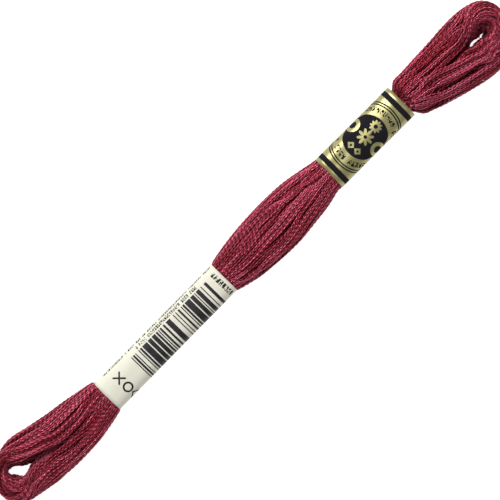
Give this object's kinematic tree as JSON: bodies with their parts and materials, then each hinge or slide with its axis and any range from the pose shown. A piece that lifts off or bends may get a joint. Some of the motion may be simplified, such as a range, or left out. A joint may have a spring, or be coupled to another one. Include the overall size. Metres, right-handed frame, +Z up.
{
  "type": "skein of embroidery floss",
  "caption": "Pull skein of six-strand cotton embroidery floss lying flat, held by two paper bands, with a small loop at each end.",
  "frame": {"origin": "on the table, under the middle of the skein's length and width", "axes": "+X along the skein towards the end by the gold band, +Z up from the table"},
  "size_m": [0.1598, 0.0181, 0.009],
  "materials": {
    "floss": "mercerised cotton, satin",
    "gold_paper": "metallic gold print with black",
    "white_paper": "smooth cream-white paper with black print"
  },
  "bodies": {
    "root": {"floss_skein": "floss", "paper_band_gold": "gold_paper", "paper_band_white": "white_paper"}
  },
  "joints": []
}
